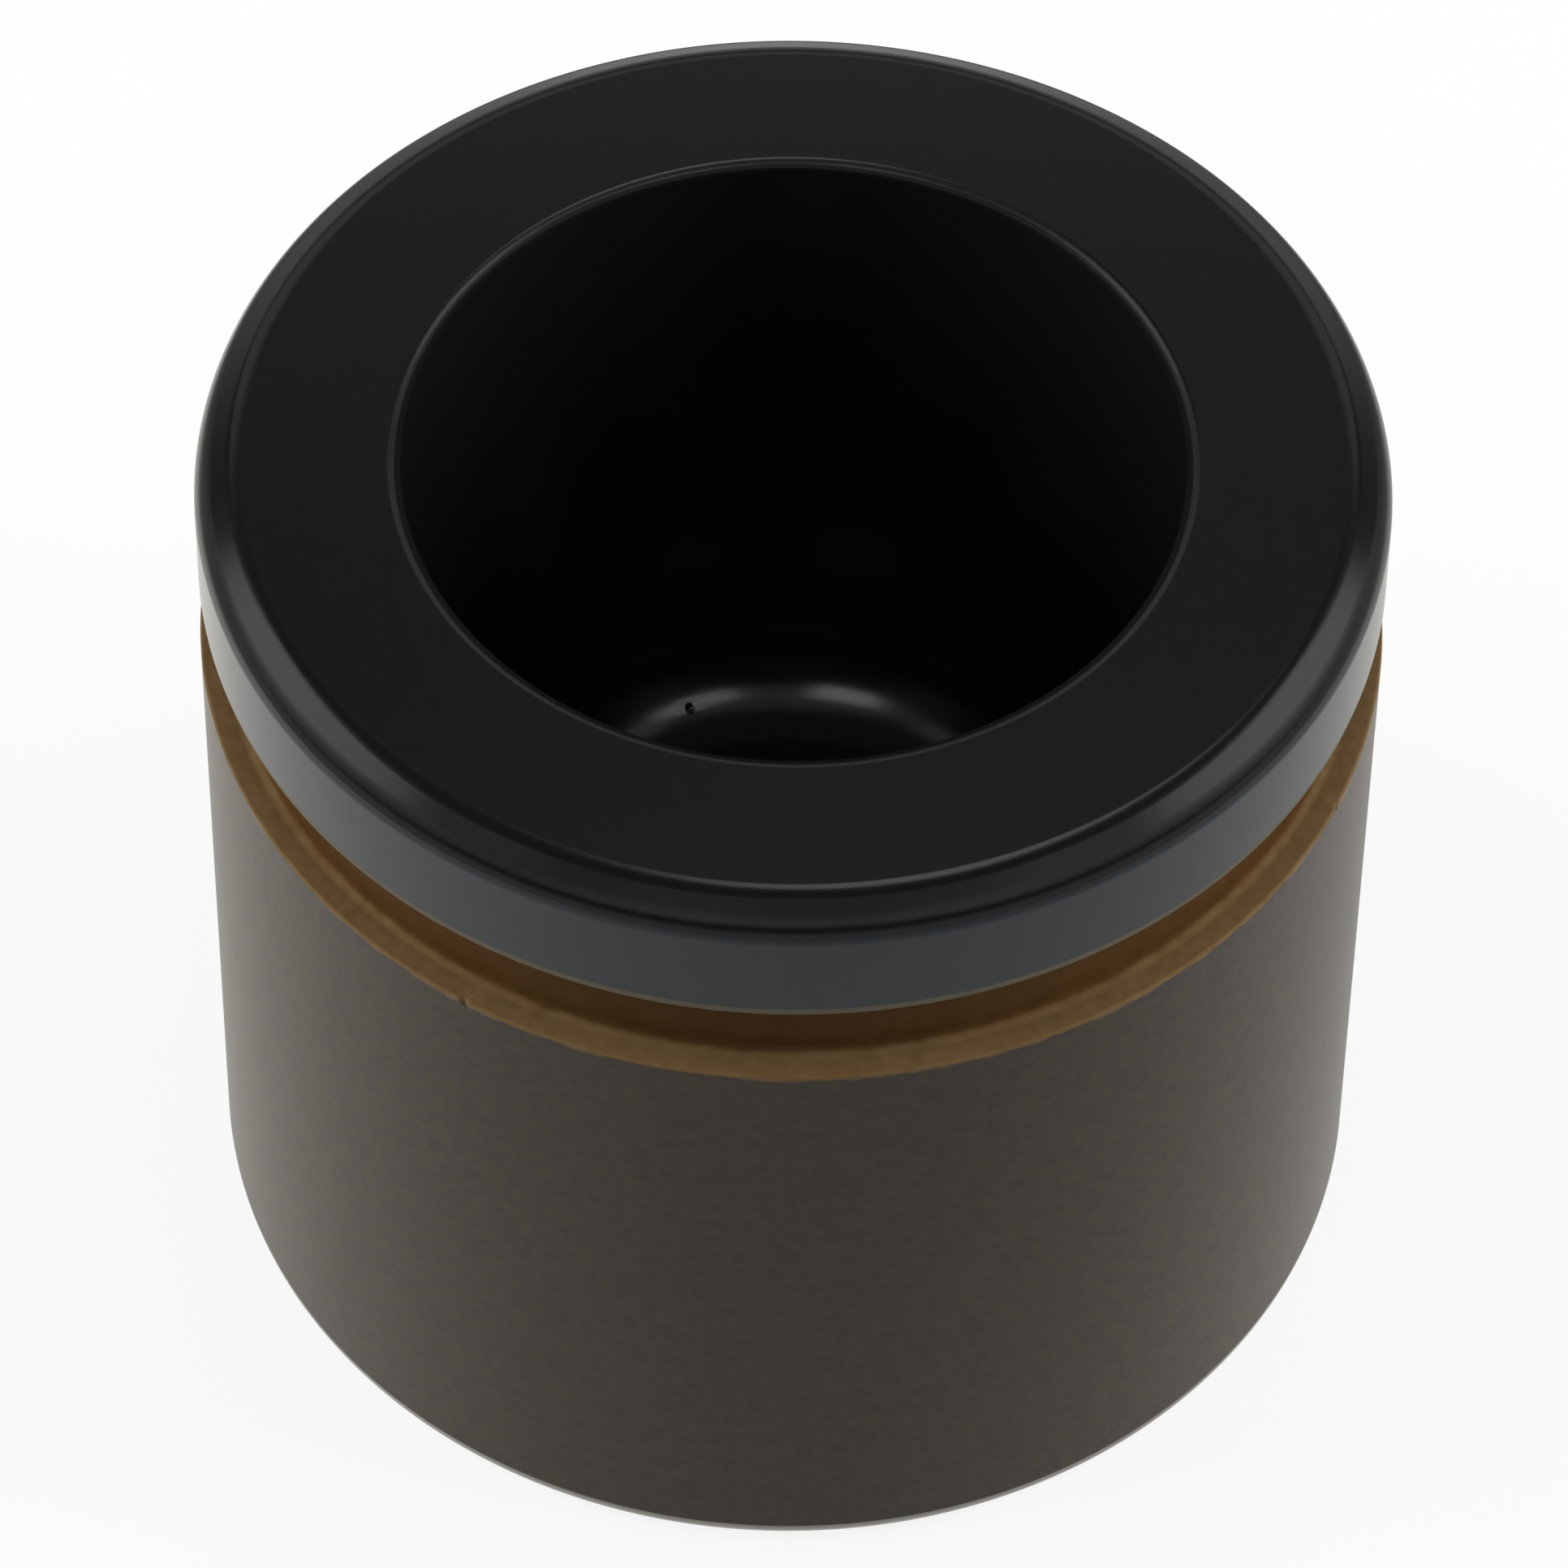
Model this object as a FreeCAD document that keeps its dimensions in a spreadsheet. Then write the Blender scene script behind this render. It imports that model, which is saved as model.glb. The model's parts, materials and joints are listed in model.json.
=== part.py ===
# Brake caliper piston, moulded in one piece from filled phenolic resin, then
# turned at the boot groove and ground on its body.
#
# The closed end lies on z = 0, the open end points up and the axis is Z.
# The origin is the centre of the closed end. Sizes are in millimetres.

import FreeCAD
import Part
import Sketcher
import os
from enum import IntEnum

# Driving dimensions: alias, size and what it measures
DIMENSIONS = [
    ("height", 51.4, "closed end to the face that presses on the pad"),
    ("body_diameter", 60.0, "ground body that slides in the cylinder"),
    ("land_relief", 0.1, "how far the moulded land lies inside the ground body"),
    ("land_length", 7.3, "face to the upper flank of the boot groove"),
    ("groove_width", 4.7, "boot groove, from flank to flank"),
    ("groove_depth", 1.65, "boot groove, from the ground body to its root"),
    ("groove_root_chamfer", 0.4, "flat in the two corners of the groove"),
    ("groove_edge_chamfer", 0.2, "flat on the lower edge of the groove"),
    ("land_break_height", 0.5, "tool's break of the land's lower edge, along the axis"),
    ("land_break_depth", 0.12, "tool's break of the land's lower edge, across"),
    ("chamfer_width", 1.95, "chamfer of the open end, across"),
    ("chamfer_height", 1.15, "chamfer of the open end, along the axis"),
    ("chamfer_edge_round", 1.35, "radius between the chamfer and the land"),
    ("face_edge_round", 1.6, "radius between the face and the chamfer"),
    ("cup_diameter", 39.2, "wall of the blind cup"),
    ("cup_depth", 40.0, "face to the floor of the cup"),
    ("cup_floor_round", 7.0, "radius between the wall and the floor of the cup"),
    ("cup_lip_width", 0.6, "shallow bevel at the mouth of the cup, across"),
    ("cup_lip_height", 0.35, "shallow bevel at the mouth of the cup, along the axis"),
    ("foot_round", 1.4, "radius of the closed end, which leads it into the seal"),
]

# Radii and heights of the section, as formulas on the sheet
BODY_RADIUS = "dimensions.body_diameter / 2"
LAND_RADIUS = f"{BODY_RADIUS} - dimensions.land_relief"
FACE_RADIUS = f"{LAND_RADIUS} - dimensions.chamfer_width"
CUP_RADIUS = "dimensions.cup_diameter / 2"
GROOVE_ROOT = f"{BODY_RADIUS} - dimensions.groove_depth"
GROOVE_OUTSIDE = f"{BODY_RADIUS} + dimensions.groove_depth"
FACE = "dimensions.height"
CHAMFER_BOTTOM = f"{FACE} - dimensions.chamfer_height"
GROOVE_TOP = f"{FACE} - dimensions.land_length"
GROOVE_BOTTOM = f"{GROOVE_TOP} - dimensions.groove_width"
LAND_BREAK_RADIUS = f"{LAND_RADIUS} - dimensions.land_break_depth"
LAND_BREAK_TOP = f"{GROOVE_TOP} + dimensions.land_break_height"
CUP_FLOOR = f"{FACE} - dimensions.cup_depth"
CUP_MOUTH_RADIUS = f"{CUP_RADIUS} + dimensions.cup_lip_width"
CUP_WALL_TOP = f"{FACE} - dimensions.cup_lip_height"

# A corner with no formula lies on the sketch's own axis in that direction
ON_AXIS = None
ON_BASE = None

# How near a ring has to be to the corner that was turned into it
RING_TOLERANCE = 1e-4


class Axis(IntEnum):
    """Sketcher's numbers for the two axes of a sketch, which meet at its origin."""

    ACROSS = -1
    UP = -2


class End(IntEnum):
    """Sketcher's numbers for the two ends of a line."""

    START = 1
    FINISH = 2


doc = FreeCAD.newDocument("caliper_piston")

sheet = doc.addObject("Spreadsheet::Sheet", "dimensions")
for row, (alias, value, meaning) in enumerate(DIMENSIONS, start=1):
    sheet.set(f"A{row}", alias)
    sheet.set(f"B{row}", str(value))
    sheet.set(f"C{row}", meaning)
    sheet.setAlias(f"B{row}", alias)

piston = doc.addObject("PartDesign::Body", "piston")
piston.Label = "piston"
doc.recompute()


def draw_section(name, corners, rounds=None):
    """Draw a closed half section through its corners, held by their formulas.

    The corners run anticlockwise. Those named in rounds are rounded by the size
    on the sheet, and the corner that the formulas hold is then where the two
    lines would meet.
    """
    rounds = rounds or {}
    sketch = piston.newObject("Sketcher::SketchObject", name)
    planes = piston.Origin.OriginFeatures
    sketch.AttachmentSupport = (next(p for p in planes if p.Role == "XZ_Plane"), [""])
    sketch.MapMode = "FlatFace"
    places = [FreeCAD.Vector(*(measure(sketch, way) for way in pair)) for pair in corners.values()]
    for start, end in zip(places, places[1:] + places[:1]):
        sketch.addGeometry(Part.LineSegment(start, end), False)
    for after, (corner, (radius, height)) in enumerate(corners.items()):
        before = (after - 1) % len(corners)
        if corner in rounds:
            point = round_corner(sketch, before, after, rounds[corner])
        else:
            joint = Sketcher.Constraint("Coincident", before, End.FINISH, after, End.START)
            sketch.addConstraint(joint)
            point = after
        hold_corner(sketch, point, "DistanceX", Axis.UP, radius)
        hold_corner(sketch, point, "DistanceY", Axis.ACROSS, height)
    doc.recompute()
    return sketch


def measure(sketch, formula):
    """Size of a formula, which is nothing for a corner on the sketch's own axis."""
    return 0.0 if formula is None else float(sketch.evalExpression(formula))


def round_corner(sketch, before, after, alias):
    """Join two lines by a tangent arc, and return the point where they would meet."""
    corner = sketch.Geometry[after].StartPoint
    reach = measure(sketch, f"dimensions.{alias}") / 2
    start = corner + (sketch.Geometry[before].StartPoint - corner).normalize() * reach
    end = corner + (sketch.Geometry[after].EndPoint - corner).normalize() * reach
    middle = (corner + (start + end) / 2) / 2
    arc = sketch.addGeometry(Part.Arc(start, middle, end), False)
    sketch.addConstraint(Sketcher.Constraint("Tangent", before, End.FINISH, arc, End.START))
    sketch.addConstraint(Sketcher.Constraint("Tangent", arc, End.FINISH, after, End.START))
    size = sketch.addConstraint(Sketcher.Constraint("Radius", arc, reach))
    sketch.setExpression(f"Constraints[{size}]", f"dimensions.{alias}")
    point = sketch.addGeometry(Part.Point(corner), True)
    for line in (before, after):
        sketch.addConstraint(Sketcher.Constraint("PointOnObject", point, End.START, line))
    return point


def hold_corner(sketch, item, direction, own_axis, formula):
    """Hold the start of a line, or a point, on an axis or at its formula's distance."""
    if formula is None:
        sketch.addConstraint(Sketcher.Constraint("PointOnObject", item, End.START, own_axis))
        return
    origin = (Axis.ACROSS, End.START)
    size = measure(sketch, formula)
    distance = Sketcher.Constraint(direction, *origin, item, End.START, size)
    index = sketch.addConstraint(distance)
    sketch.setExpression(f"Constraints[{index}]", formula)


def turn_section(kind, name, sketch):
    """Turn a section once round the axis: a Revolution adds and a Groove cuts."""
    volume_before = 0 if piston.Shape.isNull() else piston.Shape.Volume
    feature = piston.newObject(f"PartDesign::{kind}", name)
    feature.Profile = sketch
    feature.ReferenceAxis = (sketch, ["V_Axis"])
    feature.Angle = 360
    doc.recompute()
    if (feature.Shape.Volume > volume_before) != (kind == "Revolution"):
        raise ValueError(f"{name} changed the volume the wrong way")


def find_ring(shape, corner):
    """Name of the edge that this corner of a section became."""
    for number, edge in enumerate(shape.Edges, start=1):
        if not isinstance(edge.Curve, Part.Circle):
            continue
        off = max(abs(edge.Curve.Radius - corner.x), abs(edge.Curve.Center.z - corner.y))
        if off < RING_TOLERANCE:
            return f"Edge{number}"
    raise ValueError(f"no ring of radius {corner.x} at height {corner.y}")


def dress_rings(kind, alias, section, corners, names):
    """Fillet or chamfer the rings of the named corners by the size on the sheet."""
    base = piston.Tip
    places = [section.Geometry[list(corners).index(name)].StartPoint for name in names]
    feature = piston.newObject(f"PartDesign::{kind}", alias + "_rings")
    feature.Base = (base, [find_ring(base.Shape, place) for place in places])
    feature.setExpression("Radius" if kind == "Fillet" else "Size", f"dimensions.{alias}")
    doc.recompute()


# Blank: the outside as moulded, with the ground body below and the land above
blank_corners = {
    "closed end centre": (ON_AXIS, ON_BASE),
    "foot": (BODY_RADIUS, ON_BASE),
    "body top": (BODY_RADIUS, GROOVE_BOTTOM),
    "land edge": (LAND_BREAK_RADIUS, GROOVE_TOP),
    "land bottom": (LAND_RADIUS, LAND_BREAK_TOP),
    "land top": (LAND_RADIUS, CHAMFER_BOTTOM),
    "face edge": (FACE_RADIUS, FACE),
    "face centre": (ON_AXIS, FACE),
}
blank_rounds = {"land top": "chamfer_edge_round", "face edge": "face_edge_round"}
blank_section = draw_section("blank_section", blank_corners, blank_rounds)
turn_section("Revolution", "blank", blank_section)

# Cup: the blind hollow that the mould's core leaves
cup_corners = {
    "floor centre": (ON_AXIS, CUP_FLOOR),
    "floor edge": (CUP_RADIUS, CUP_FLOOR),
    "wall top": (CUP_RADIUS, CUP_WALL_TOP),
    "mouth edge": (CUP_MOUTH_RADIUS, FACE),
    "mouth centre": (ON_AXIS, FACE),
}
cup_section = draw_section("cup_section", cup_corners)
turn_section("Groove", "cup", cup_section)

# Boot groove: the seat that is turned for the bead of the dust boot
groove_corners = {
    "lower root": (GROOVE_ROOT, GROOVE_BOTTOM),
    "lower outside": (GROOVE_OUTSIDE, GROOVE_BOTTOM),
    "upper outside": (GROOVE_OUTSIDE, GROOVE_TOP),
    "upper root": (GROOVE_ROOT, GROOVE_TOP),
}
groove_section = draw_section("groove_section", groove_corners)
turn_section("Groove", "boot_groove", groove_section)

# Edges: more rounds where the mould leaves them, small flats where a tool breaks them
dress_rings("Fillet", "cup_floor_round", cup_section, cup_corners, ["floor edge"])
roots = ["lower root", "upper root"]
dress_rings("Chamfer", "groove_root_chamfer", groove_section, groove_corners, roots)
dress_rings("Chamfer", "groove_edge_chamfer", blank_section, blank_corners, ["body top"])
dress_rings("Fillet", "foot_round", blank_section, blank_corners, ["foot"])

# Every object has to be sound before the part is written
for item in doc.Objects:
    if {"Invalid", "Error"} & set(item.State):
        raise RuntimeError(f"{item.Name} failed: {item.State}")
if piston.Shape.isNull() or not piston.Shape.isValid() or len(piston.Shape.Solids) != 1:
    raise RuntimeError("the piston is not one valid solid")

os.makedirs("parts", exist_ok=True)
piston.Shape.exportStep(f"parts/{piston.Label}.step")
print(f"{piston.Label}: {piston.Shape.Volume:.1f} mm3, {len(piston.Shape.Faces)} faces")
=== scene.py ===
# Looks of the moulded caliper piston: one turned piece with its true rounds and
# small marks, its finishes, and the studio that the photograph was taken in.

import json
import math
from typing import NamedTuple

import bmesh
import bpy
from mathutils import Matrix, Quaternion, Vector


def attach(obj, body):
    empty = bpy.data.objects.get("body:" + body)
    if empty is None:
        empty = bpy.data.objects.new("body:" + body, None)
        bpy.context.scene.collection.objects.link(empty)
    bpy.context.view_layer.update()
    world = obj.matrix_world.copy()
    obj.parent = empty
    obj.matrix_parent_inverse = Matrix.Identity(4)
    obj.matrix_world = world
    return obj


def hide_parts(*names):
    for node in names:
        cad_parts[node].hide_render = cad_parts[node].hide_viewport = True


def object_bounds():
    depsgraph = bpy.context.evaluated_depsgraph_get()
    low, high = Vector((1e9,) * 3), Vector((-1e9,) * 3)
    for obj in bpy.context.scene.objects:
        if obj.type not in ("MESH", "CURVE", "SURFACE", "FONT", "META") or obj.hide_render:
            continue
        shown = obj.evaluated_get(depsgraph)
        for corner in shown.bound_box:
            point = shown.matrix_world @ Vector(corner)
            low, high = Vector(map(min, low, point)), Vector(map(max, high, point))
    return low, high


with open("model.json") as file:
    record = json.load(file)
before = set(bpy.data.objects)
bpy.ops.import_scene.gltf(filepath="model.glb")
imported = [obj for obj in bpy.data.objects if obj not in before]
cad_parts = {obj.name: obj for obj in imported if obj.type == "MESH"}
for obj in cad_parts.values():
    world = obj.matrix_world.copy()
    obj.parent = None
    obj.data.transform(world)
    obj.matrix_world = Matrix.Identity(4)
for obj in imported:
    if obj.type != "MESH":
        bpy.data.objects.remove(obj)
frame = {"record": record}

MM = 0.001

cad_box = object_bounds()
mounts = {mount["name"]: mount for mount in frame["record"]["mounts"]}


def span(name):
    """Lowest and highest point of a mount along the axis, in millimetres."""
    centre = mounts[name]["pos_m"][2] / MM
    half = mounts[name]["dims"]["length_mm"] / 2
    return centre - half, centre + half


# Main sizes in millimetres, from the CAD part
HEIGHT = cad_box[1].z / MM
BODY_RADIUS = mounts["body"]["dims"]["r_mm"]
CUP_RADIUS = mounts["cup"]["dims"]["r_mm"]
GROOVE_ROOT = mounts["boot_groove"]["dims"]["r_mm"]
GROOVE_BOTTOM, GROOVE_TOP = span("boot_groove")
FOOT_ROUND = span("body")[0]
CUP_WALL_BOTTOM, CUP_WALL_TOP = span("cup")

# Small sizes in millimetres, as in the part's source or finer
LAND_RELIEF = 0.1
LAND_BREAK_HEIGHT = 0.5
LAND_BREAK_DEPTH = 0.12
LAND_BREAK_ROUND = 0.5
LAND_EDGE_ROUND = 0.08
CHAMFER_WIDTH = 1.95
CHAMFER_HEIGHT = 1.15
CHAMFER_EDGE_ROUND = 1.35
FACE_EDGE_ROUND = 1.6
CUP_FLOOR_ROUND = 7.0
CUP_LIP_WIDTH = 0.6
CUP_LIP_ROUND = 0.5
GROOVE_ROOT_ROUND = 0.6
GROOVE_EDGE_ROUND = 0.15

CUP_FLOOR = CUP_WALL_BOTTOM - CUP_FLOOR_ROUND
LAND_RADIUS = BODY_RADIUS - LAND_RELIEF
FACE_RADIUS = LAND_RADIUS - CHAMFER_WIDTH

# Height at which the chamfer's flat runs into its lower round
CHAMFER_END = HEIGHT - CHAMFER_HEIGHT + 0.3

# Marks of wear: their patch is cut finer, with rings of points near the chips
CHIP_HEIGHT = GROOVE_BOTTOM - 0.05
CHIP_RING_GAP = 0.4
DENT_PATCH = 1.0
DENT_CUTS = 3

STEPS_ROUND = 360
SHARPEST_SMOOTH = math.radians(20)


class Corner(NamedTuple):
    """A corner of the section: its place and round, and the steps of the round."""

    radius: float
    height: float
    round: float = 0.0
    steps: int = 0


SECTION = [
    Corner(0, 0),
    Corner(BODY_RADIUS, 0, FOOT_ROUND, 10),
    Corner(BODY_RADIUS, GROOVE_BOTTOM - 2 * CHIP_RING_GAP),
    Corner(BODY_RADIUS, GROOVE_BOTTOM - CHIP_RING_GAP),
    Corner(BODY_RADIUS, GROOVE_BOTTOM, GROOVE_EDGE_ROUND, 5),
    Corner(GROOVE_ROOT, GROOVE_BOTTOM, GROOVE_ROOT_ROUND, 6),
    Corner(GROOVE_ROOT, GROOVE_TOP, GROOVE_ROOT_ROUND, 6),
    Corner(LAND_RADIUS - LAND_BREAK_DEPTH, GROOVE_TOP, LAND_EDGE_ROUND, 3),
    Corner(LAND_RADIUS, GROOVE_TOP + LAND_BREAK_HEIGHT, LAND_BREAK_ROUND, 3),
    Corner(LAND_RADIUS, HEIGHT - CHAMFER_HEIGHT, CHAMFER_EDGE_ROUND, 10),
    Corner(FACE_RADIUS, HEIGHT, FACE_EDGE_ROUND, 8),
    Corner(CUP_RADIUS + CUP_LIP_WIDTH, HEIGHT, CUP_LIP_ROUND, 5),
    Corner(CUP_RADIUS, CUP_WALL_TOP),
    Corner(CUP_RADIUS, CUP_FLOOR, CUP_FLOOR_ROUND, 24),
    Corner(0, CUP_FLOOR),
]


class Dent(NamedTuple):
    """A small dent: the direction and place of its middle, its size and depth."""

    azimuth: float
    radius: float
    height: float
    size: float
    depth: float


DENTS = {
    "left chip": Dent(-121.8, BODY_RADIUS, CHIP_HEIGHT, 0.34, 0.18),
    "front chip": Dent(-45.7, BODY_RADIUS, CHIP_HEIGHT, 0.24, 0.07),
    "right chip": Dent(-24.2, BODY_RADIUS, CHIP_HEIGHT, 0.30, 0.10),
    "cup pit": Dent(109.0, 16.70, 12.72, 0.25, 0.08),
}


def place(corner):
    """A corner's place in the plane that is turned, in metres."""
    return Vector((corner.radius, 0, corner.height)) * MM


def round_reach(before, corner, after):
    """How far a round reaches along the two lines that meet in its corner."""
    towards = [(place(other) - place(corner)).normalized() for other in (before, after)]
    opening = towards[0].angle(towards[1])
    return corner.round * MM / math.tan(opening / 2)


def draw_section(mesh):
    """Draw half the piston's section as a chain of edges, with its rounds."""
    points = [mesh.verts.new(place(corner)) for corner in SECTION]
    for start, end in zip(points, points[1:]):
        mesh.edges.new((start, end))
    neighbours = zip(SECTION, SECTION[1:], SECTION[2:])
    for point, (before, corner, after) in zip(points[1:-1], neighbours):
        if not corner.round:
            continue
        bmesh.ops.bevel(
            mesh,
            geom=[point],
            offset=round_reach(before, corner, after),
            offset_type="OFFSET",
            segments=corner.steps,
            profile=0.5,
            affect="VERTICES",
            material=-1,
        )


def press_dent(mesh, dent):
    """Press a dent into the skin, which is cut finer round it first."""
    turn = math.radians(dent.azimuth)
    way = Vector((math.cos(turn), math.sin(turn), 0))
    middle = (way * dent.radius + Vector((0, 0, dent.height))) * MM
    near = {vert for vert in mesh.verts if (vert.co - middle).length < DENT_PATCH * MM}
    patch = [edge for edge in mesh.edges if near.issuperset(edge.verts)]
    bmesh.ops.subdivide_edges(mesh, edges=patch, cuts=DENT_CUTS, use_grid_fill=True)
    mesh.normal_update()
    inwards = -min(mesh.verts, key=lambda vert: (vert.co - middle).length).normal
    for vert in mesh.verts:
        share = (vert.co - middle).length / (dent.size * MM)
        if share < 1:
            vert.co += inwards * dent.depth * MM * (1 - share**2) ** 2


def turn_piston():
    """Turn the section once round the axis into the closed skin of the piston."""
    mesh = bmesh.new()
    draw_section(mesh)
    bmesh.ops.spin(
        mesh,
        geom=mesh.verts[:] + mesh.edges[:],
        cent=(0, 0, 0),
        axis=(0, 0, 1),
        dvec=(0, 0, 0),
        angle=math.tau,
        steps=STEPS_ROUND,
        use_merge=True,
    )
    bmesh.ops.remove_doubles(mesh, verts=mesh.verts[:], dist=0.001 * MM)
    bmesh.ops.recalc_face_normals(mesh, faces=mesh.faces[:])
    for dent in DENTS.values():
        press_dent(mesh, dent)
    for edge in mesh.edges:
        edge.smooth = edge.calc_face_angle(0) < SHARPEST_SMOOTH
    return mesh


class Signal:
    """A socket's value, so that shader sums are written as plain sums."""

    def __init__(self, shader, socket):
        self.shader = shader
        self.socket = socket

    def sum(self, operation, *values):
        """Value of a Math node that works on these values."""
        sockets = dict(enumerate(values))
        node = self.shader.node("ShaderNodeMath", {"operation": operation}, sockets)
        return Signal(self.shader, node.outputs[0])

    def __add__(self, other):
        return self.sum("ADD", self, other)

    def __radd__(self, other):
        return self.sum("ADD", other, self)

    def __sub__(self, other):
        return self.sum("SUBTRACT", self, other)

    def __rsub__(self, other):
        return self.sum("SUBTRACT", other, self)

    def __mul__(self, other):
        return self.sum("MULTIPLY", self, other)

    def __rmul__(self, other):
        return self.sum("MULTIPLY", other, self)


class Shader:
    """The nodes of a material or of the world, emptied and ready to be built."""

    def __init__(self, owner):
        owner.use_nodes = True
        self.tree = owner.node_tree
        self.tree.nodes.clear()

    def node(self, kind, settings=None, sockets=None):
        """Add a node, give it its settings, then set or link its sockets."""
        node = self.tree.nodes.new(kind)
        for name, value in (settings or {}).items():
            setattr(node, name, value)
        for name, value in (sockets or {}).items():
            if isinstance(value, Signal):
                self.tree.links.new(value.socket, node.inputs[name])
            elif isinstance(value, bpy.types.NodeSocket):
                self.tree.links.new(value, node.inputs[name])
            else:
                node.inputs[name].default_value = value
        return node

    def value(self, node, output=0):
        """An output of a node as a value for sums."""
        return Signal(self, node.outputs[output])

    def blend(self, share, first, second):
        """Colour that goes from the first to the second as the share goes from 0 to 1."""
        sockets = {0: share, 6: first, 7: second}
        return self.node("ShaderNodeMix", {"data_type": "RGBA"}, sockets).outputs[2]

    def ramp(self, value, low, high):
        """A value brought from between low and high to between 0 and 1, smoothly."""
        settings = {"interpolation_type": "SMOOTHSTEP"}
        sockets = {"Value": value, "From Min": low, "From Max": high}
        return self.value(self.node("ShaderNodeMapRange", settings, sockets))

    def rays(self):
        """Whether a ray comes from the camera, from a mirroring and from a dull surface."""
        path = self.node("ShaderNodeLightPath")
        seen = self.value(path, "Is Camera Ray") + self.value(path, "Is Transmission Ray")
        return seen, self.value(path, "Is Glossy Ray"), self.value(path, "Is Diffuse Ray")

    def finish(self, surface, kind="ShaderNodeOutputMaterial"):
        """Link a shader to the output."""
        self.node(kind, None, {"Surface": surface})


class Finish(Shader):
    """A material, with the piston's own coordinates in millimetres."""

    def __init__(self, name):
        self.material = bpy.data.materials.new(name)
        super().__init__(self.material)
        coordinates = self.node("ShaderNodeTexCoord").outputs["Object"]
        scaled = {0: coordinates, "Scale": 1 / MM}
        self.place = self.node("ShaderNodeVectorMath", {"operation": "SCALE"}, scaled).outputs[0]
        parts = self.node("ShaderNodeSeparateXYZ", None, {0: self.place})
        self.height = self.value(parts, 2)

    def grain(self, size, detail=2.0, roughness=0.5, stretch=(1, 1, 1)):
        """Even noise with spots of about this size, in millimetres, from 0 to 1."""
        scaling = {0: self.place, 1: stretch}
        vector = self.node("ShaderNodeVectorMath", {"operation": "MULTIPLY"}, scaling).outputs[0]
        sockets = {"Vector": vector, "Scale": 1 / size, "Detail": detail, "Roughness": roughness}
        return self.value(self.node("ShaderNodeTexNoise", None, sockets))

    def relief(self, height, depth):
        """Normal of a bump that is this deep, in millimetres."""
        sockets = {"Height": height, "Distance": depth * MM, "Strength": 1.0}
        return self.node("ShaderNodeBump", None, sockets).outputs[0]

    def resin(self, **sockets):
        """Make the surface of resin with these sockets, and return the material."""
        names = {name.replace("_", " "): value for name, value in sockets.items()}
        surface = self.node("ShaderNodeBsdfPrincipled", None, names)
        self.finish(surface.outputs[0])
        return self.material


def grey(level):
    """A neutral colour."""
    return (level, level, level, 1.0)


def moulded_skin():
    """Black skin of the face and chamfer, rougher where the chamfer meets its round."""
    finish = Finish("moulded_skin")
    dark, light = (0.0024, 0.0033, 0.0028, 1), (0.0038, 0.0048, 0.0042, 1)
    colour = finish.blend(finish.grain(0.8), dark, light)
    below = finish.ramp(finish.height, CHAMFER_END - 0.2, CHAMFER_END - 0.05)
    above = finish.ramp(finish.height, CHAMFER_END + 0.05, CHAMFER_END + 0.25)
    band = below * (1 - above)
    return finish.resin(
        Base_Color=colour,
        Roughness=band * 0.25 + 0.2,
        IOR=1.5,
        Normal=finish.relief(finish.grain(0.25), 0.0008),
    )


def satin_land():
    """Blue-grey sheen of the land above the groove."""
    finish = Finish("satin_land")
    dark, light = (0.003, 0.0068, 0.0125, 1), (0.0065, 0.0122, 0.019, 1)
    colour = finish.blend(finish.grain(0.8), dark, light)
    return finish.resin(Base_Color=colour, Roughness=0.2, IOR=1.335)


def cup_skin():
    """Glossy black skin of the cup, which a polished core leaves, duller at its mouth."""
    finish = Finish("cup_skin")
    mouth = finish.ramp(finish.height, CUP_WALL_TOP - 0.1, CUP_WALL_TOP)
    roughness = mouth * 0.15 + 0.17
    return finish.resin(Base_Color=(0.006, 0.007, 0.0065, 1), Roughness=roughness, IOR=1.5)


def turned_groove():
    """Amber resin that the tool lays bare in the boot groove, with painted light and shade: the
    root is painted darker as the shade under the land, and the groove's lower side is painted
    paler as if lit from above.
    """
    finish = Finish("turned_groove")
    lines = finish.grain(0.12, stretch=(0.02, 0.02, 1))
    # painted shade: the root's darker amber stands in for the shade that the land casts into the
    # groove
    dark, light = (0.052, 0.024, 0.006, 1), (0.083, 0.040, 0.012, 1)
    root = finish.blend(finish.grain(1.2), dark, light)
    # painted light: the lower side's paler amber stands in for the light that falls on it from
    # above
    dark, light = (0.114, 0.065, 0.024, 1), (0.186, 0.119, 0.052, 1)
    flank_painted_light = finish.blend(finish.grain(0.6), dark, light)
    rise = finish.height + (finish.grain(1.5) - 0.5) * 0.3
    colour = finish.blend(finish.ramp(rise, GROOVE_BOTTOM, GROOVE_BOTTOM + 0.35), flank_painted_light, root)
    return finish.resin(
        Base_Color=colour,
        Roughness=0.7,
        IOR=1.2,
        Normal=finish.relief(lines, 0.004),
    )


def ground_body():
    """Grey-brown ground resin, speckled by its filler, with an uneven amber top edge."""
    finish = Finish("ground_body")
    speckle = finish.ramp(finish.grain(0.7, detail=3.0, roughness=0.6), 0.2, 0.8)
    dark, light = (0.007, 0.004, 0.0015, 1), (0.026, 0.014, 0.0045, 1)
    resin = finish.blend(speckle, dark, light)
    rise = finish.height + (finish.grain(1.6) - 0.5) * 0.7
    torn = finish.ramp(rise, GROOVE_BOTTOM - 0.4, GROOVE_BOTTOM - 0.1)
    colour = finish.blend(torn, resin, (0.120, 0.068, 0.026, 1))
    return finish.resin(
        Base_Color=colour,
        Roughness=0.35,
        IOR=1.29,
        Normal=finish.relief(finish.grain(0.15, stretch=(0.1, 0.1, 1)), 0.002),
    )


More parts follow.
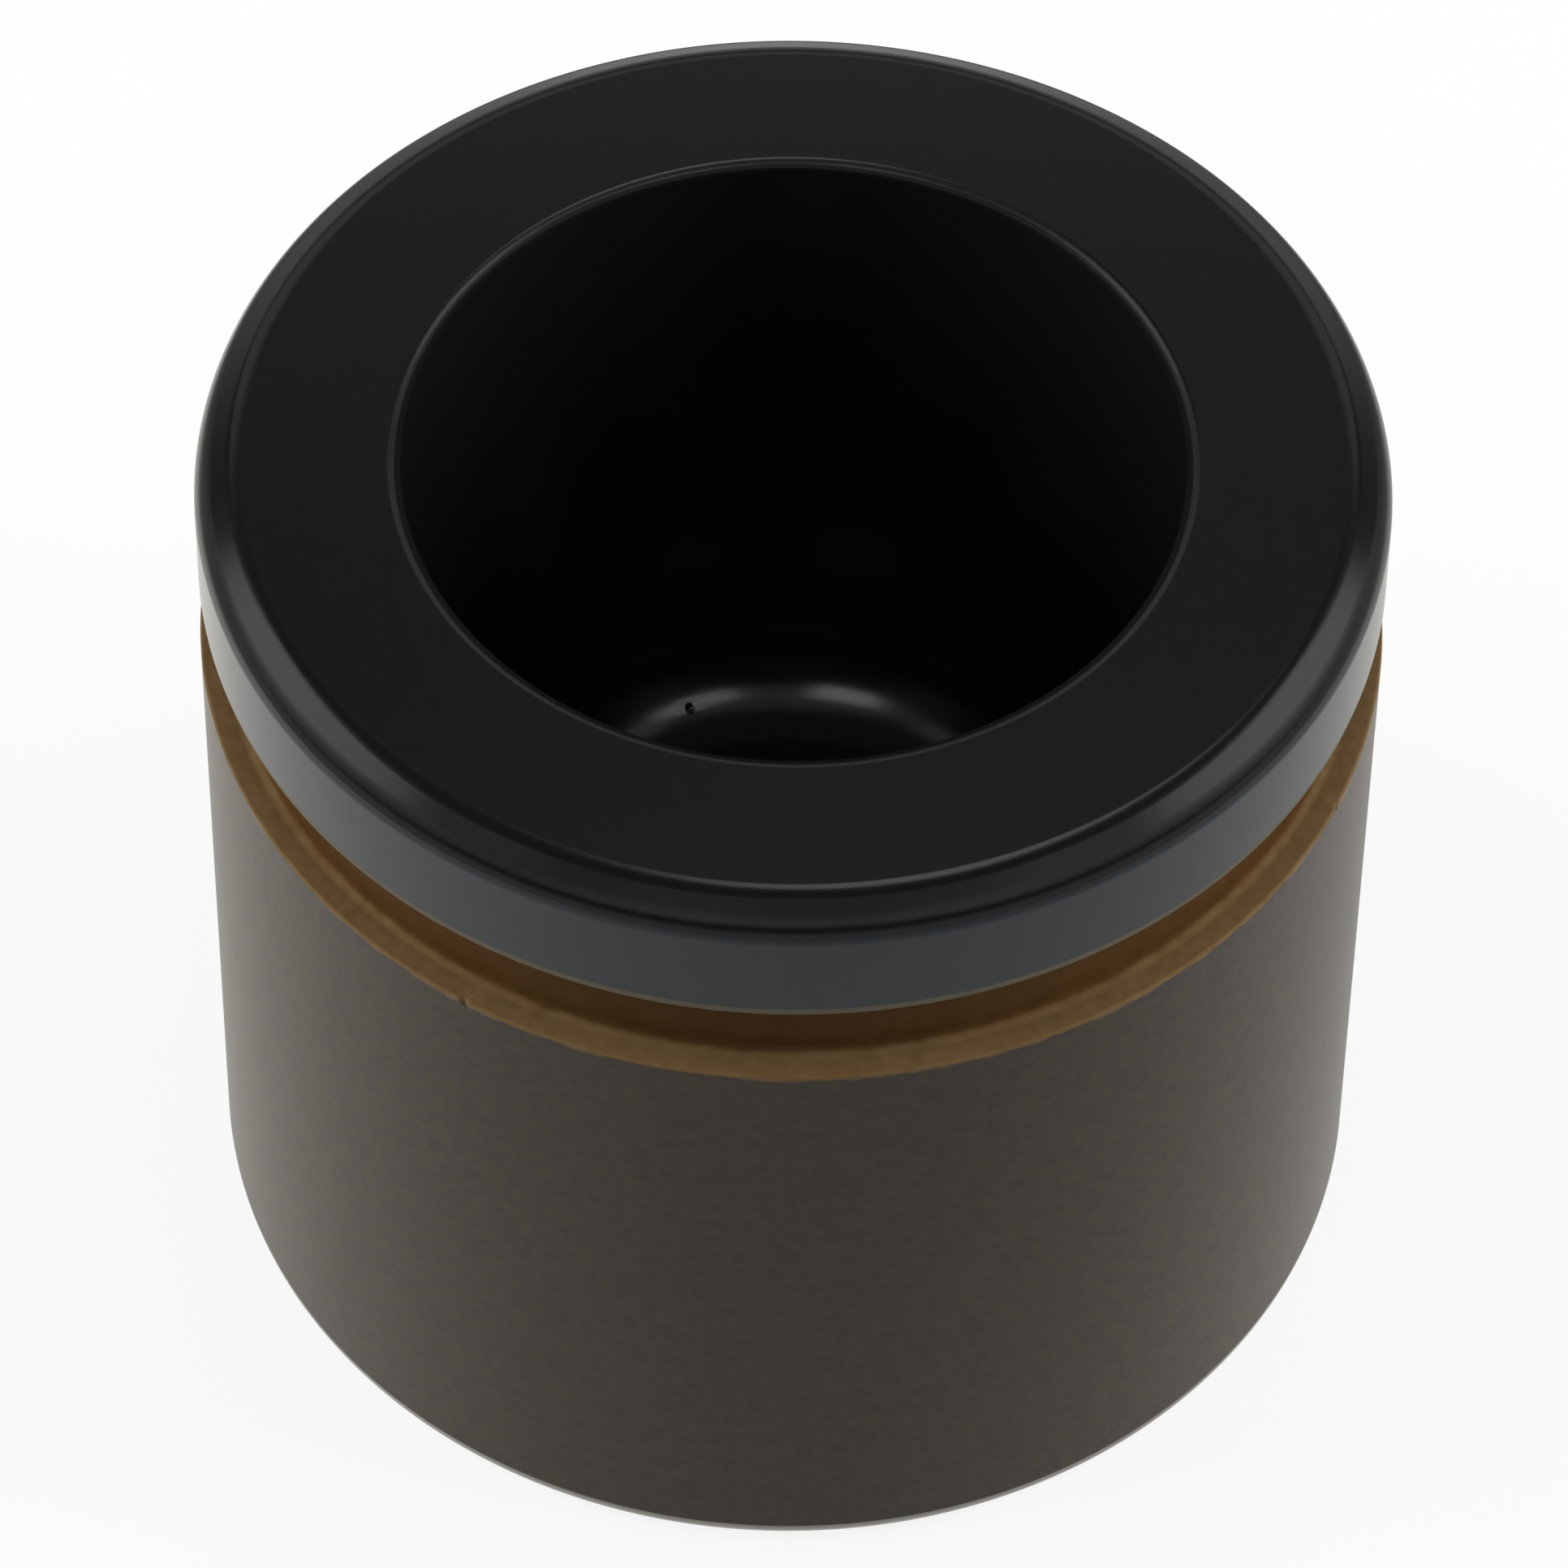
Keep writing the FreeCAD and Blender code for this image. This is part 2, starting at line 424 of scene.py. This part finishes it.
def broken_edge():
    """Resin where a tool has broken the lower edge of the land, painted pale as a painted
    highlight along that edge.
    """
    finish = Finish("broken_edge")
    # painted highlight: the pale cream stands in for the bright line along the land's lower edge
    dark, light = (0.060, 0.050, 0.028, 1), (0.090, 0.076, 0.045, 1)
    colour = finish.blend(finish.grain(1.0), dark, light)
    return finish.resin(Base_Color=colour, Roughness=0.6, IOR=1.35)


def burnished_foot():
    """Leading edge of the body, smoother, with its colour painted paler as a painted reflection
    of the white table.
    """
    finish = Finish("burnished_foot")
    # painted reflection: the pale colour stands in for the white table mirrored in the foot's
    # round
    dark, light = (0.050, 0.042, 0.032, 1), (0.085, 0.072, 0.057, 1)
    colour = finish.blend(finish.grain(0.7), dark, light)
    return finish.resin(Base_Color=colour, Roughness=0.3, IOR=1.9)


FINISHES = [
    moulded_skin(),
    satin_land(),
    cup_skin(),
    turned_groove(),
    ground_body(),
    broken_edge(),
    burnished_foot(),
]
SKIN, LAND, CUP, GROOVE, BODY, EDGE, FOOT = range(len(FINISHES))


def finish_of(face):
    """The finish that a face has, by where it lies on the section."""
    centre = face.calc_center_median() / MM
    radius = math.hypot(centre.x, centre.y)
    if centre.z < FOOT_ROUND:
        return FOOT if radius > BODY_RADIUS - FOOT_ROUND else SKIN
    if radius < CUP_RADIUS + CUP_LIP_WIDTH:
        return CUP
    if centre.z < GROOVE_BOTTOM - GROOVE_EDGE_ROUND:
        return BODY
    if centre.z < GROOVE_TOP:
        return GROOVE
    if centre.z < GROOVE_TOP + LAND_BREAK_HEIGHT + LAND_BREAK_ROUND / 4:
        return EDGE
    if centre.z < HEIGHT - CHAMFER_HEIGHT - CHAMFER_EDGE_ROUND / 4:
        return LAND
    return SKIN


def make_piston():
    """Make the piston's piece, finished zone by zone."""
    mesh = turn_piston()
    for face in mesh.faces:
        face.smooth = True
        face.material_index = finish_of(face)
    data = bpy.data.meshes.new("piston_skin")
    mesh.to_mesh(data)
    mesh.free()
    for finish in FINISHES:
        data.materials.append(finish)
    piece = bpy.data.objects.new("piston_skin", data)
    bpy.context.scene.collection.objects.link(piece)
    even = piece.modifiers.new("even_shading", "WEIGHTED_NORMAL")
    even.weight = 100
    return piece


# Studio: sizes and places in millimetres, angles in degrees
CAMERA_PLACE = Vector((0.0, -302.76, 392.30))
CAMERA_AIM = Vector((-0.265, 0.0, 25.547))
CAMERA_ROLL = 0.793
SENSOR_WIDTH = 36.0
LENS = 210.18

FLOOR_SIZE = 3000.0
FLOOR_DROP = 0.02
LAMP_DISTANCE = 900.0

# How the table shows in reflections: near the piston on each side, and far off
TABLE_NEAR = 130.0
TABLE_FAR = 330.0
TABLE_LEFT_GLOW = (1.24, 1.22, 1.14, 1)
TABLE_RIGHT_GLOW = (0.86, 0.85, 0.81, 1)
TABLE_FAR_GLOW = (0.33, 0.33, 0.33, 1)

# How much of the table is even white to the camera, and the rise of the pale wall
TABLE_EVEN_SHARE = 0.85
WALL_RISE = 0.38


def make_camera():
    """Set up the camera at the photograph's viewing angle."""
    data = bpy.data.cameras.new("camera")
    data.sensor_width = SENSOR_WIDTH
    data.lens = LENS
    data.clip_end = 10
    camera = bpy.data.objects.new("camera", data)
    bpy.context.scene.collection.objects.link(camera)
    camera.location = CAMERA_PLACE * MM
    camera.rotation_mode = "QUATERNION"
    turn = (CAMERA_AIM - CAMERA_PLACE).to_track_quat("-Z", "Y")
    roll = Quaternion((0, 0, 1), math.radians(CAMERA_ROLL))
    camera.rotation_quaternion = turn @ roll
    bpy.context.scene.camera = camera


def white_table():
    """White paint, nearly even to the camera, which glows in reflections by its place."""
    material = bpy.data.materials.new("white_table")
    material.cycles.emission_sampling = "NONE"
    shader = Shader(material)
    seen, mirrored, bounced = shader.rays()
    coordinates = shader.node("ShaderNodeTexCoord").outputs["Object"]
    distance = shader.node("ShaderNodeVectorMath", {"operation": "LENGTH"}, {0: coordinates})
    far = shader.ramp(shader.value(distance, 1), TABLE_NEAR * MM, TABLE_FAR * MM)
    across = shader.value(shader.node("ShaderNodeSeparateXYZ", None, {0: coordinates}))
    right = shader.ramp(across, -TABLE_NEAR * MM, TABLE_NEAR * MM)
    near = shader.blend(right, TABLE_LEFT_GLOW, TABLE_RIGHT_GLOW)
    glow_colour = shader.blend(far, near, TABLE_FAR_GLOW)
    paint_colour = shader.blend(bounced, grey(0.8), grey(0.4))
    paint = shader.node("ShaderNodeBsdfDiffuse", None, {"Color": paint_colour})
    white = shader.node("ShaderNodeEmission", None, {"Color": grey(1.0)})
    glow = shader.node("ShaderNodeEmission", None, {"Color": glow_colour})
    sockets = {0: seen * TABLE_EVEN_SHARE, 1: paint.outputs[0], 2: white.outputs[0]}
    lit = shader.node("ShaderNodeMixShader", None, sockets)
    sockets = {0: mirrored, 1: lit.outputs[0], 2: glow.outputs[0]}
    shader.finish(shader.node("ShaderNodeMixShader", None, sockets).outputs[0])
    return material


def make_floor():
    """Lay the white table, which keeps the piston's shadow."""
    mesh = bmesh.new()
    bmesh.ops.create_grid(mesh, x_segments=1, y_segments=1, size=FLOOR_SIZE * MM / 2)
    data = bpy.data.meshes.new("table")
    mesh.to_mesh(data)
    mesh.free()
    data.materials.append(white_table())
    table = bpy.data.objects.new("table", data)
    bpy.context.scene.collection.objects.link(table)
    table.location.z = -FLOOR_DROP * MM


class Lamp(NamedTuple):
    """A softbox: its direction and size, and how bright it is to look at."""

    name: str
    azimuth: float
    elevation: float
    width: float
    height: float
    radiance: float
    mirrored: bool = True


LAMPS = [
    Lamp("right_softbox", 13, 42, 520, 450, 1.6),
    Lamp("left_softbox", 166, 42, 490, 430, 1.55),
    Lamp("back_strip", 78, 69, 240, 290, 1.75),
    Lamp("back_panel", 90, 36, 1100, 340, 0.42),
    Lamp("right_front_box", -54, 52, 300, 200, 1.7),
    Lamp("left_front_box", -111, 53, 230, 200, 2.1),
    Lamp("right_edge_box", -24, 58, 180, 180, 0.45),
    Lamp("left_edge_box", -156, 58, 180, 180, 0.35),
    Lamp("front_panel", -90, 60, 1150, 320, 0.2),
    Lamp("right_fill", 2, 22, 700, 500, 7.0, mirrored=False),
    Lamp("left_fill", 178, 22, 700, 500, 7.0, mirrored=False),
]


def hang_lamp(lamp):
    """Hang a softbox so that it faces the piston."""
    data = bpy.data.lights.new(lamp.name, "AREA")
    data.shape = "RECTANGLE"
    data.size = lamp.width * MM
    data.size_y = lamp.height * MM
    data.energy = lamp.radiance * math.pi * data.size * data.size_y
    box = bpy.data.objects.new(lamp.name, data)
    bpy.context.scene.collection.objects.link(box)
    turn, lift = math.radians(lamp.azimuth), math.radians(lamp.elevation)
    level = math.cos(lift)
    way = Vector((level * math.cos(turn), level * math.sin(turn), math.sin(lift)))
    box.location = way * LAMP_DISTANCE * MM
    box.rotation_mode = "QUATERNION"
    box.rotation_quaternion = (-way).to_track_quat("-Z", "Y")
    box.visible_glossy = lamp.mirrored


def make_world():
    """Light the room dimly, with a pale wall low down and white where it is seen."""
    world = bpy.data.worlds.new("studio")
    bpy.context.scene.world = world
    shader = Shader(world)
    direction = shader.node("ShaderNodeTexCoord").outputs["Generated"]
    parts = shader.node("ShaderNodeSeparateXYZ", None, {0: direction})
    rise = shader.ramp(shader.value(parts, 2), 0.0, WALL_RISE)
    wall = shader.blend(rise, grey(0.5), grey(0.065))
    seen, mirrored, _ = shader.rays()
    room = shader.blend(mirrored, grey(0.25), wall)
    colour = shader.blend(seen, room, grey(1.0))
    background = shader.node("ShaderNodeBackground", None, {"Color": colour})
    shader.finish(background.outputs[0], "ShaderNodeOutputWorld")


piston = make_piston()
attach(piston, "root")
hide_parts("piston")

make_camera()
make_floor()
make_world()
for lamp in LAMPS:
    hang_lamp(lamp)
bpy.context.scene.view_settings.view_transform = "Standard"
